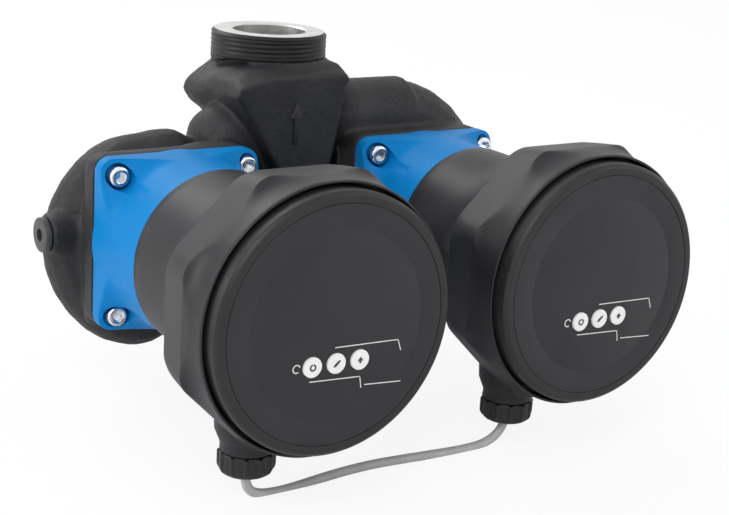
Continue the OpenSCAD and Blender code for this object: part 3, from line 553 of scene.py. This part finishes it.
def makeCollar(name, place):
    c = collar
    rim, bore = c["threadRadius"], c["boreRadius"]
    rows = int((c["height"] - 2 * c["bevel"]) / c["rowStep"])
    threadEnd = c["bevel"] + c["rowStep"] * rows
    section = [(rim - c["bevel"], c["faceGap"]), (rim - c["edge"], c["bevel"] - c["edge"])]
    section += [(rim, c["bevel"] + c["rowStep"] * k) for k in range(rows + 1)]
    section += [
        (rim, c["height"] - c["footEdge"]),
        (rim - c["footEdge"], c["height"]),
        (c["neckRadius"], c["height"]),
        (c["neckRadius"], c["height"] - c["footThick"]),
        (rim - c["wall"], c["height"] - 2 * c["footThick"]),
        (rim - c["wall"], c["wallTop"]),
    ]

    def threadReach(angle, r, z):
        if r < rim or not c["bevel"] < z <= threadEnd:
            return r
        phase = (z / c["pitch"] - angle / fullTurn) % 1
        valley = 1 - abs(2 * phase - 1)
        fade = min(1, (threadEnd - z) / c["runOut"], (z - c["bevel"]) / c["runIn"])
        return r - c["threadDepth"] * valley * max(fade, 0)

    shape = turnedLoop(section, c["columns"], place, threadReach)
    makePiece(name + "Thread", shape, "threadCoat", "fixed", crease=c["crease"])
    mouth = [
        (rim - c["bevel"], 0.0),
        (rim - c["bevel"], c["faceThick"]),
        (bore + c["mouthWall"], c["faceThick"]),
        (bore + c["mouthWall"], c["mouthDepth"]),
        (bore, c["mouthDepth"]),
        (bore, c["mouthBevel"]),
        (bore + c["mouthBevel"], 0.0),
    ]
    makePiece(name + "Face", turnedLoop(mouth, c["columns"], place), "machinedIron", "fixed")


makeCollar("outletCollar", portPoint(portHeight, -1))
makeCollar("inletCollar", portPoint(0.0, 1))
print("collars made")


# cast arrow on the chamber's front wall, pointing the way of flow

flowArrow = {
    "x": -4.5, "tail": 127.0, "head": 149.0, "half": 1.3, "wing": 3.6, "wingDrop": 8.0, "face": 38.0,
    "levels": ((-0.4, 0), (0.54, 0.03), (0.9, 0.0875)),  # height over the wall, share drawn to the middle
    "crease": 60,
}


def makeArrow():
    a = flowArrow
    half, wing, shoulder = a["half"], a["wing"], a["head"] - a["wingDrop"]
    outline = [(-half, a["tail"]), (half, a["tail"]), (half, shoulder), (wing, shoulder),
               (0, a["head"]), (-wing, shoulder), (-half, shoulder)]
    middleX, middleZ = (sum(values) / len(outline) for values in zip(*outline))
    rings = []
    for height, draw in a["levels"]:
        drawn = [(a["x"] + x + (middleX - x) * draw, z + (middleZ - z) * draw) for x, z in outline]
        rings.append([(x * mm, -(a["face"] + height) * mm, z * mm) for x, z in drawn])
    makePiece("flowArrow", ringGrid(rings), "castCoat", "fixed", crease=a["crease"])


makeArrow()


# plugs on the outer sides of the casings

plug = {
    "headRadius": 8.5, "height": 3.0, "foot": 0.3, "rim": ((0, 0.7), (0.25, 0.2), (0.8, 0)), "socket": 6.0,
    "socketDepth": 2.0, "neckRadius": 6.5, "neckDepth": 8.3, "ahead": 18.0, "columns": 72,
}


def makePlugs():
    low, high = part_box("casing_plugs")
    top, edge, neck = plug["height"], plug["headRadius"], plug["neckRadius"]
    profile = [(neck, -plug["neckDepth"]), (neck, 0), (edge - plug["foot"], 0), (edge, plug["foot"])]
    profile += stepsIn(edge, top, plug["rim"])
    shapes = []
    for side, end in ((-1, low.x), (1, high.x)):
        seat = side * end / mm - top
        def place(p, side=side, seat=seat):
            return side * (seat + p[2]) * mm, -(plug["ahead"] - side * p[0]) * mm, (axisHeight + p[1]) * mm
        rings = turnedRings(profile, plug["columns"], place)
        for level in (top, top - plug["socketDepth"]):
            rings.append(hexRing(place, plug["columns"], plug["socket"], level))
        shapes.append(ringGrid(rings))
    makePiece("casingPlugs", joinShapes(shapes), "plugPaint", "fixed", ["casing_plugs"])


makePlugs()
print("casing plugs made")


# motor housing: square plate that flares into the barrel, cut away flat round the screws

motor = {
    "barrelRadius": 42.5, "plate": 84.0, "corner": 7.0, "back": 40.0, "front": 46.0, "end": 85.0,
    "edge": 0.7, "edgeSlope": 0.8, "endEdge": 0.4, "flareHeight": 17.0, "flareReach": 20.0,
    "webStart": 45.5, "webBlend": 0.9, "barrelBlend": 0.8, "screwSpacing": 68.0, "spotRadius": 6.2,
    "spotTop": 70.0, "pilotRadius": 39.8, "pilotBack": 36.0, "columns": 288, "crease": 38,
    "plateLevels": [42.5, 45, 45.6, 46, 46.3, 46.7, 47.2, 47.8],
    "flareLevels": [48.5 + 0.8 * k for k in range(19)],
    "barrelLevels": [66, 72, 78],
}


def squareReach(angle, width, corner):
    turn = (angle + math.pi / 4) % (math.pi / 2) - math.pi / 4
    inset = width / 2 - corner
    if math.tan(abs(turn)) * width / 2 <= inset:
        return width / 2 / math.cos(turn)
    off = abs(turn) - math.pi / 4
    far = inset * math.sqrt(2)
    return far * math.cos(off) + math.sqrt(max(corner ** 2 - (far * math.sin(off)) ** 2, 0))


def flareRadius(z):
    part = 1 - (z - motor["front"]) / motor["flareHeight"]
    return motor["barrelRadius"] + motor["flareReach"] * roundFall(max(0, part))


def makeMotorHousing(sideName, place):
    m = motor

    def outline(angle, r, z):
        if r <= m["pilotRadius"] or z >= m["front"] + m["flareHeight"]:
            return r
        web = squareReach(angle, m["plate"], m["corner"]) - max(0, m["back"] + m["edge"] - z) * m["edgeSlope"]
        if z > m["webStart"]:
            web = softLess(web, flareRadius(z), m["webBlend"])
        return softMore(r, web, m["barrelBlend"])

    levels = [m["back"], m["back"] + m["edge"] / 2, m["back"] + m["edge"]]
    levels += m["plateLevels"] + m["flareLevels"] + m["barrelLevels"] + [m["end"] - m["endEdge"]]
    profile = [(m["pilotRadius"], m["pilotBack"]), (m["pilotRadius"], m["back"])]
    profile += [(m["barrelRadius"], z) for z in levels]
    profile += [(m["barrelRadius"] - m["endEdge"], m["end"])]
    shape = ringGrid(turnedRings(profile, m["columns"], place, outline))
    piece = makePiece(f"{sideName}MotorHousing", shape, "bluePaint", "fixed",
                      [f"{sideName}_motor_housing"])
    reach = m["screwSpacing"] / 2
    spots = [rodTool(place, (x * reach, y * reach), m["spotRadius"], m["front"], m["spotTop"])
             for x, y in plateCorners]
    cutWith(piece, spots, m["crease"])


# socket head screws

screw = {
    "headRadius": 5.0, "height": 6.0, "foot": (0.2, 0.3),
    "rim": ((0, 1.1), (0.12, 0.7), (0.35, 0.3), (0.75, 0)), "socket": 5.0, "socketDepth": 3.0,
    "socketBevel": (0.5, 0.35), "shankRadius": 3, "shankLength": 12, "ribs": 30, "ribDepth": 0.16,
    "turns": (0.2, 1.1, 0.7, 0.45), "columns": 120, "crease": 40,
}


def makeScrews(sideName, place):
    s = screw
    top, edge, reach = s["height"], s["headRadius"], motor["screwSpacing"] / 2

    def ribbed(angle, r, z):
        return r if r < edge else r - s["ribDepth"] * (0.5 + 0.5 * math.cos(s["ribs"] * angle))

    profile = [(s["shankRadius"], -s["shankLength"]), (s["shankRadius"], 0)]
    profile += [(edge - s["foot"][0], 0), (edge, s["foot"][1])] + stepsIn(edge, top, s["rim"])
    grow, drop = s["socketBevel"]
    shapes = []
    for (x, y), turn in zip(plateCorners, s["turns"]):
        def at(p, x=x, y=y):
            return place((x * reach + p[0], y * reach + p[1], motor["front"] + p[2]))
        rings = turnedRings(profile, s["columns"], at, ribbed)
        for wider, level in ((grow, top), (0, top - drop), (0, top - s["socketDepth"])):
            rings.append(hexRing(at, s["columns"], s["socket"], level, wider, turn))
        shapes.append(ringGrid(rings))
    makePiece(f"{sideName}FlangeScrews", joinShapes(shapes), "zincSteel", "fixed",
              [f"{sideName}_flange_screws"], crease=s["crease"])


# controller shell: eight-sided, round at the neck and at the rim

shell = {
    "neckRadius": 43.0, "back": 85.0, "neckEnd": 112.0, "shoulderEnd": 146.0, "across": 121.0, "corner": 12.0,
    "rimStart": 166.0, "rimEnd": 178.0, "front": 182.0, "rimInner": 59.2, "ledge": 171.0, "ledgeInner": 54.6,
    "ledgeDepth": 3, "soft": 1.1, "draft": 2.7, "rearCorner": 61.0, "cornerEase": 1.5,
    "backEdge": 0.6, "backSlope": 0.7, "frontEdge": 0.8, "frontRound": 0.9,
    "innerEdge": ((-0.5, 0), (-0.15, 0.12), (0, 0.5)), "columns": 256, "crease": 42,
    "neckLevels": [92, 100, 106, 110],
    "shoulderLevels": [112 + 1.5 * k for k in range(18)] + [138.5 + 0.5 * k for k in range(17)],
    "flatLevels": [149, 152, 155, 158, 161, 163, 165, 166],
    "rimLevels": [166.15, 166.4, 166.8, 167.4, 168.2, 169.2, 170.4, 172, 174, 176, 178, 180],
    "frontLevels": [181.2, 181.5, 181.75, 181.9, 182],
}


def shellLean(z):  # 1 at the rear end of the flats, 0 where the rim begins
    return min(1, max(0, (shell["rimStart"] - z) / (shell["rimStart"] - shell["shoulderEnd"])))


def octagonReach(angle, z):
    step = math.pi / 4
    turn = abs((angle + step / 2) % step - step / 2)
    half, corner = shell["across"] / 2 - shell["draft"] * shellLean(z), shell["corner"]
    if math.tan(turn) * half <= (half - corner) * math.tan(step / 2):
        return half / math.cos(turn)
    off = turn - step / 2
    far = (half - corner) / math.cos(step / 2)
    return far * math.cos(off) + math.sqrt(max(corner ** 2 - (far * math.sin(off)) ** 2, 0))


def shellTurned(z):
    s = shell
    half = s["across"] / 2
    full = half / math.cos(math.pi / 8)
    corner = full + (s["rearCorner"] - full) * shellLean(z) ** s["cornerEase"]
    if z < s["shoulderEnd"]:
        part = max(0, (z - s["neckEnd"]) / (s["shoulderEnd"] - s["neckEnd"]))
        return s["neckRadius"] + (corner - s["neckRadius"]) * roundFall(part)
    part = min(1, max(0, (z - s["rimStart"]) / (s["rimEnd"] - s["rimStart"])))
    return half + (corner - half) * roundFall(1 - part)


def makeShell(sideName, place):
    s = shell

    def outline(angle, r, z):
        if r:
            return r
        back, front = max(0, s["back"] + s["backEdge"] - z), max(0, z - s["front"] + s["frontEdge"])
        cut = back * s["backSlope"] + front ** 2 * s["frontRound"]
        return softLess(octagonReach(angle, z), shellTurned(z), s["soft"]) - cut

    levels = [s["back"], s["back"] + s["backEdge"] / 2, s["back"] + s["backEdge"]] + s["neckLevels"]
    levels += s["shoulderLevels"] + s["flatLevels"] + s["rimLevels"] + s["frontLevels"]
    profile = [(0, z) for z in levels] + stepsIn(s["rimInner"], s["front"], s["innerEdge"])  # 0: see outline
    profile += [(s["rimInner"], s["ledge"]), (s["ledgeInner"], s["ledge"])]
    profile += [(s["ledgeInner"], s["ledge"] - s["ledgeDepth"])]
    shape = ringGrid(turnedRings(profile, s["columns"], place, outline))
    makePiece(f"{sideName}ControllerShell", shape, "shellPlastic", "fixed",
              [f"{sideName}_controller_housing"], crease=s["crease"])


# cover, its face panel, the printed lines and the buttons

key = {
    "radius": 4.5, "pitch": 11.7, "drop": 16.0, "gap": 0.3, "proud": 0.8, "stem": 5, "columns": 64,
    "rim": ((0, 0.5), (0.12, 0.2), (0.45, 0), (0.9, 0), (2.25, 0.09), (4.1, 0.12)),
    "signDrop": 0.07, "signSink": 0.15, "signRise": 0.05,
}
cover = {
    "radius": 57.6, "back": 173.0, "front": 189.0, "backEdge": 0.5, "columns": 256, "crease": 35,
    "rim": ((0, 1.85), (0.12, 1.55), (1.5, 0.2), (1.9, 0.03), (2.3, 0)),
    "recess": 0.6, "recessRadius": 52.6, "recessEdge": ((-0.2, 0), (0, 0.15)), "holeBelow": 6, "holeAbove": 4,
}
panel = {
    "radius": 52.35, "low": cover["front"] - cover["recess"], "thick": 0.5, "edge": ((0, 0.12), (0.15, 0)),
    "ring": 42.0, "ringGroove": ((-0.35, 0), (-0.15, 0.08), (0.15, 0.08), (0.35, 0)),
    "holeMargin": 2, "columns": 256, "crease": 25,
}
panelTop = panel["low"] + panel["thick"]


def cutKeyholes(piece, place, low, high, crease):
    r = key["radius"] + key["gap"]
    centres = [(i * key["pitch"], -key["drop"]) for i in (-1, 0, 1)]
    cutWith(piece, [rodTool(place, centre, r, low, high) for centre in centres], crease)


def makeCover(sideName, place):
    c = cover
    profile = [(c["radius"] - c["backEdge"], c["back"]), (c["radius"], c["back"] + c["backEdge"])]
    profile += stepsIn(c["radius"], c["front"], c["rim"])
    profile += stepsIn(c["recessRadius"], c["front"], c["recessEdge"]) + [(c["recessRadius"], panel["low"])]
    shape = ringGrid(turnedRings(profile, c["columns"], place))
    piece = makePiece(f"{sideName}FrontCover", shape, "coverPlastic", "fixed",
                      [f"{sideName}_front_cover"])
    cutKeyholes(piece, place, c["front"] - c["holeBelow"], c["front"] + c["holeAbove"], c["crease"])


def makePanel(sideName, place):
    p = panel
    profile = [(p["radius"], p["low"])] + stepsIn(p["radius"], panelTop, p["edge"])
    profile += stepsIn(p["ring"], panelTop, p["ringGroove"])
    shape = ringGrid(turnedRings(profile, p["columns"], place))
    piece = makePiece(f"{sideName}FacePanel", shape, "facePanelFoil", "fixed",
                      [f"{sideName}_face_panel"])
    cutKeyholes(piece, place, p["low"] - p["holeMargin"], panelTop + p["holeMargin"], p["crease"])


def flatShape(outline, place, low, high):
    return ringGrid([[place((x, y, z)) for x, y in outline] for z in (low, high)])


def strokeOutline(a, b, width):
    way = Vector((b[0] - a[0], b[1] - a[1])).normalized() * width / 2
    side = Vector((-way.y, way.x))
    return [(a[0] + side.x - way.x, a[1] + side.y - way.y), (a[0] - side.x - way.x, a[1] - side.y - way.y),
            (b[0] - side.x + way.x, b[1] - side.y + way.y), (b[0] + side.x + way.x, b[1] + side.y + way.y)]


def arcBand(centre, r, width, start, end, steps=24):
    angles = [math.radians(start + (end - start) * k / steps) for k in range(steps + 1)]
    outer = [polar(r + width / 2, angle, 0, centre)[:2] for angle in angles]
    inner = [polar(r - width / 2, angle, 0, centre)[:2] for angle in reversed(angles)]
    return outer + inner


signOutlines = {
    1: arcBand((0, 0), 1.25, 0.75, 100, 440),
    2: [(-1.7, -1.3), (-0.5, -1.35), (1.5, 0.6), (1.8, 1.5), (0.7, 1.3), (-1.2, -0.2)],
    3: [(-1.5, -0.4), (0, 1.5), (1.5, -0.4), (0.5, -0.4), (0.5, -1.4), (-0.5, -1.4), (-0.5, -0.4)],
}


def makeButton(sideName, place, number):
    k = key
    x = (number - 2) * k["pitch"]
    top = cover["front"] + k["proud"]
    def at(p):
        return place((x + p[0], p[1] - k["drop"], p[2]))
    profile = [(k["radius"], cover["front"] - k["stem"])] + stepsIn(k["radius"], top, k["rim"])
    body = f"{sideName}_key_{number}"
    makePiece(f"{sideName}Button{number}", ringGrid(turnedRings(profile, k["columns"], at)), "buttonWhite",
              body, [f"{sideName}_button_{number}"])
    level = top - k["signDrop"]
    sign = flatShape(signOutlines[number], at, level - k["signSink"], level + k["signRise"])
    makePiece(f"{sideName}Sign{number}", sign, "printDark", body)


panelPrint = {
    "width": 0.42,
    "rise": 0.05,
    "sink": 0.1,
    "lines": [
        [(-0.6, -9.0), (31.0, -9.9), (32.6, -14.7)],
        [(-12.5, -22.4), (12.4, -23.7), (13.3, -28.8)],
        [(15.2, -27.8), (33.5, -29.1)],
    ],
    "mark": {"centre": (-19.2, -15.7), "r": 1.7, "width": 0.5, "start": 20, "end": 300},
}


def makePrint(sideName, place):
    outlines = [strokeOutline(a, b, panelPrint["width"])
                for line in panelPrint["lines"] for a, b in zip(line, line[1:])]
    outlines.append(arcBand(**panelPrint["mark"]))
    low, high = panelTop - panelPrint["sink"], panelTop + panelPrint["rise"]
    shape = joinShapes([flatShape(outline, place, low, high) for outline in outlines])
    makePiece(f"{sideName}PanelPrint", shape, "printWhite", "fixed")


# gland: boss on the shell, threaded nipple and ribbed nut, all hanging under the shell

gland = {
    "x": -18.0, "z": 150.0,
    "bossRadius": 12.0, "bossEnd": 66.0, "bossEdge": 0.4, "bossColumns": 96,
    "bossFlare": ((3.5, 44), (2.6, 56), (1.2, 59.5), (0.3, 61.5), (0, 63)),  # how much wider, how deep
    "nippleRadius": 9.6, "nippleEnd": 72.0,
}
nut = {
    "radius": 12.4, "ribRadius": 13.0, "back": 66.3, "shoulder": 73.3, "end": 77.0, "edge": 0.5, "gap": 0.2,
    "rowStep": 0.9, "rows": 7, "noseRadius": 7.5, "noseRows": 10, "noseBend": (0.8, 1.1), "noseFlat": 1.2,
    "noseThick": 2.8, "holeRadius": 2.8, "ribs": 12, "ribWidth": 0.34, "ribSink": 0.25, "ribFade": 4.0,
    "ribEnd": 3.4, "ribMargin": (0.3, 0.1), "columns": 192, "crease": 40,
}


def glandPoint(headPlace):
    def place(p):
        return headPlace((gland["x"] + p[0], -p[2], gland["z"] + p[1]))
    return place


def makeBoss(sideName, place):
    g = gland
    boss, end, nipple = g["bossRadius"], g["bossEnd"], g["nippleRadius"]
    profile = [(boss + wider, depth) for wider, depth in g["bossFlare"]]
    profile += [(boss, end - g["bossEdge"]), (boss - g["bossEdge"], end)]
    profile += [(nipple, end), (nipple, g["nippleEnd"])]
    shape = ringGrid(turnedRings(profile, g["bossColumns"], place))
    makePiece(f"{sideName}GlandBoss", shape, "shellPlastic", "fixed")


def makeNut(sideName, place):
    n = nut
    ribHeight = n["ribRadius"] - n["radius"] + n["ribSink"]

    def ribbed(angle, r, z):
        if r < n["noseRadius"] + n["ribMargin"][0] or z < n["back"] + n["ribMargin"][1]:
            return r
        wave = abs((angle * n["ribs"] / fullTurn) % 1 - 0.5) * 2
        rise = max(0, 1 - ((1 - wave) / n["ribWidth"]) ** 2)
        fade = min(1, max(0, (n["shoulder"] + n["ribEnd"] - z) / n["ribFade"]))
        return r + ribHeight * rise * fade - n["ribSink"] * fade

    inner = gland["nippleRadius"] + n["gap"]
    firstRow = n["back"] + n["edge"]
    profile = [(inner, n["back"]), (n["radius"] - n["edge"], n["back"])]
    profile += [(n["radius"], firstRow + n["rowStep"] * k) for k in range(n["rows"] + 1)]
    width, height = n["radius"] - n["noseRadius"], n["end"] - n["shoulder"]
    for k in range(n["noseRows"] + 1):
        bend = math.pi / 2 * (k / n["noseRows"])
        r = n["noseRadius"] + width * math.cos(bend) ** n["noseBend"][0]
        profile.append((r, n["shoulder"] + height * math.sin(bend) ** n["noseBend"][1]))
    hole, noseBack = n["holeRadius"], n["end"] - n["noseThick"]
    profile += [(n["noseRadius"] - n["noseFlat"], n["end"]), (hole + n["edge"], n["end"])]
    profile += [(hole, n["end"] - n["edge"]), (hole, noseBack), (inner, noseBack)]
    makePiece(f"{sideName}GlandNut", turnedLoop(profile, n["columns"], place, ribbed), "nutPlastic", "fixed",
              [f"{sideName}_gland_nut"], crease=n["crease"])


for sideName, side in headSides.items():
    headPlace = headPoint(side)
    for makePart in (makeMotorHousing, makeScrews, makeShell, makeCover, makePanel, makePrint):
        makePart(sideName, headPlace)
    for number in signOutlines:
        makeButton(sideName, headPlace, number)
    for makePart in (makeBoss, makeNut):
        makePart(sideName, glandPoint(headPlace))
    print(sideName, "head dressed")


# carried-over nodes keep their shape and get their own finish

nodeFinishes = {
    "changeover_flap": "flapRubber", "flap_pin": "drawnSteel", "flap_pin_plug": "drawnSteel",
    "flange_gasket": "sealRubber", "bearing_plate": "drawnSteel", "front_bearing": "bearingCarbon",
    "rear_bearing": "bearingCarbon", "neck_ring": "turnedBronze", "rotor_can": "drawnSteel",
    "stator_core": "lamination", "stator_coils": "enamelledCopper", "rotor_shaft": "drawnSteel",
    "rotor": "rotorSleeve", "impeller": "impellerComposite", "power_board": "boardLacquer",
    "key_board": "boardLacquer", "cover_seal": "sealRubber", "gland_seal": "sealRubber",
}
for nodeName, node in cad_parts.items():
    plainName = nodeName.split("_", 1)[1] if nodeName.split("_")[0] in headSides else nodeName
    if plainName in nodeFinishes:
        node.data.materials.clear()
        node.data.materials.append(look[nodeFinishes[plainName]])
print("carried-over nodes finished")


# floor, lamps and surroundings

studio = {
    "floorHeight": -0.0024,
    "floorSize": 6.0,
    "floorColours": ((0.93, 0.93, 0.93), (0.95, 0.95, 0.95)),
    "floorPatch": 3.0,
    "floorRough": 0.8,
    "floorGlow": 0.88,  # share of plain white that the camera sees in the floor
    "surround": 0.62,
    "lamps": [
        {"name": "keyLamp", "place": (-1.5, -1.6, 2.0), "size": 1.3, "watts": 30},
        {"name": "fillLamp", "place": (1.8, -1.8, 1.2), "size": 1.6, "watts": 10},
        {"name": "rearLamp", "place": (-0.4, 1.9, 1.9), "size": 1.4, "watts": 22},
        {"name": "sideLamp", "place": (-1.9, 0.5, 0.75), "size": 0.9, "watts": 14},
    ],
    "aim": (0, -0.08, 0.09),
}


def mathNode(tree, operation, first, second=None):
    node = tree.nodes.new("ShaderNodeMath")
    node.operation = operation
    tree.links.new(first, node.inputs[0])
    if second:
        tree.links.new(second, node.inputs[1])
    return node


def mixShaders(tree, factor, first, second):
    mix = tree.nodes.new("ShaderNodeMixShader")
    for socket, source in zip(mix.inputs, (factor, first, second)):
        tree.links.new(source, socket)
    return mix.outputs[0]


def makeSurround():
    world = bpy.data.worlds.new("studio")
    bpy.context.scene.world = world
    world.use_nodes = True
    tree = world.node_tree
    tree.nodes.clear()
    output = tree.nodes.new("ShaderNodeOutputWorld")
    shades = []
    for strength in (studio["surround"], 1.0):  # what lights the pump, and the white that the camera sees
        background = tree.nodes.new("ShaderNodeBackground")
        background.inputs["Color"].default_value = (1, 1, 1, 1)
        background.inputs["Strength"].default_value = strength
        shades.append(background.outputs[0])
    rays = tree.nodes.new("ShaderNodeLightPath").outputs
    seen = mathNode(tree, "MAXIMUM", rays["Is Camera Ray"], rays["Is Glossy Ray"])
    seen = mathNode(tree, "MAXIMUM", seen.outputs[0], rays["Is Transmission Ray"])
    tree.links.new(mixShaders(tree, seen.outputs[0], *shades), output.inputs["Surface"])


def makeFloor():
    half = studio["floorSize"] / 2
    mesh = bpy.data.meshes.new("studioFloor")
    corners = [(-half, -half), (half, -half), (half, half), (-half, half)]
    mesh.from_pydata([(x, y, studio["floorHeight"]) for x, y in corners], [], [(0, 1, 2, 3)])
    floor = addObject("studioFloor", mesh)
    material, tree, shader = newMaterial("paleFloor")
    output = shader.outputs["BSDF"].links[0].to_node
    mottle = mapRange(tree, objectNoise(tree, studio["floorPatch"], patchDetail), 0, 1)
    tree.links.new(mixColours(tree, mottle, *studio["floorColours"]), shader.inputs["Base Color"])
    shader.inputs["Roughness"].default_value = studio["floorRough"]
    glow = tree.nodes.new("ShaderNodeEmission")
    glow.inputs["Strength"].default_value = 1.0
    rays = tree.nodes.new("ShaderNodeLightPath").outputs
    share = mathNode(tree, "MULTIPLY", rays["Is Camera Ray"])
    share.inputs[1].default_value = studio["floorGlow"]
    mixed = mixShaders(tree, share.outputs[0], shader.outputs["BSDF"], glow.outputs[0])
    tree.links.new(mixed, output.inputs["Surface"])
    floor.data.materials.append(material)


def addLamps():
    for lamp in studio["lamps"]:
        data = bpy.data.lights.new(lamp["name"], "AREA")
        data.shape = "DISK"
        data.size = lamp["size"]
        data.energy = lamp["watts"]
        light = addObject(lamp["name"], data)
        light.location = lamp["place"]
        way = Vector(studio["aim"]) - Vector(lamp["place"])
        light.rotation_euler = way.to_track_quat("-Z", "Y").to_euler()


makeSurround()
makeFloor()
addLamps()
bpy.context.scene.view_settings.view_transform = "Standard"
print("studio set")
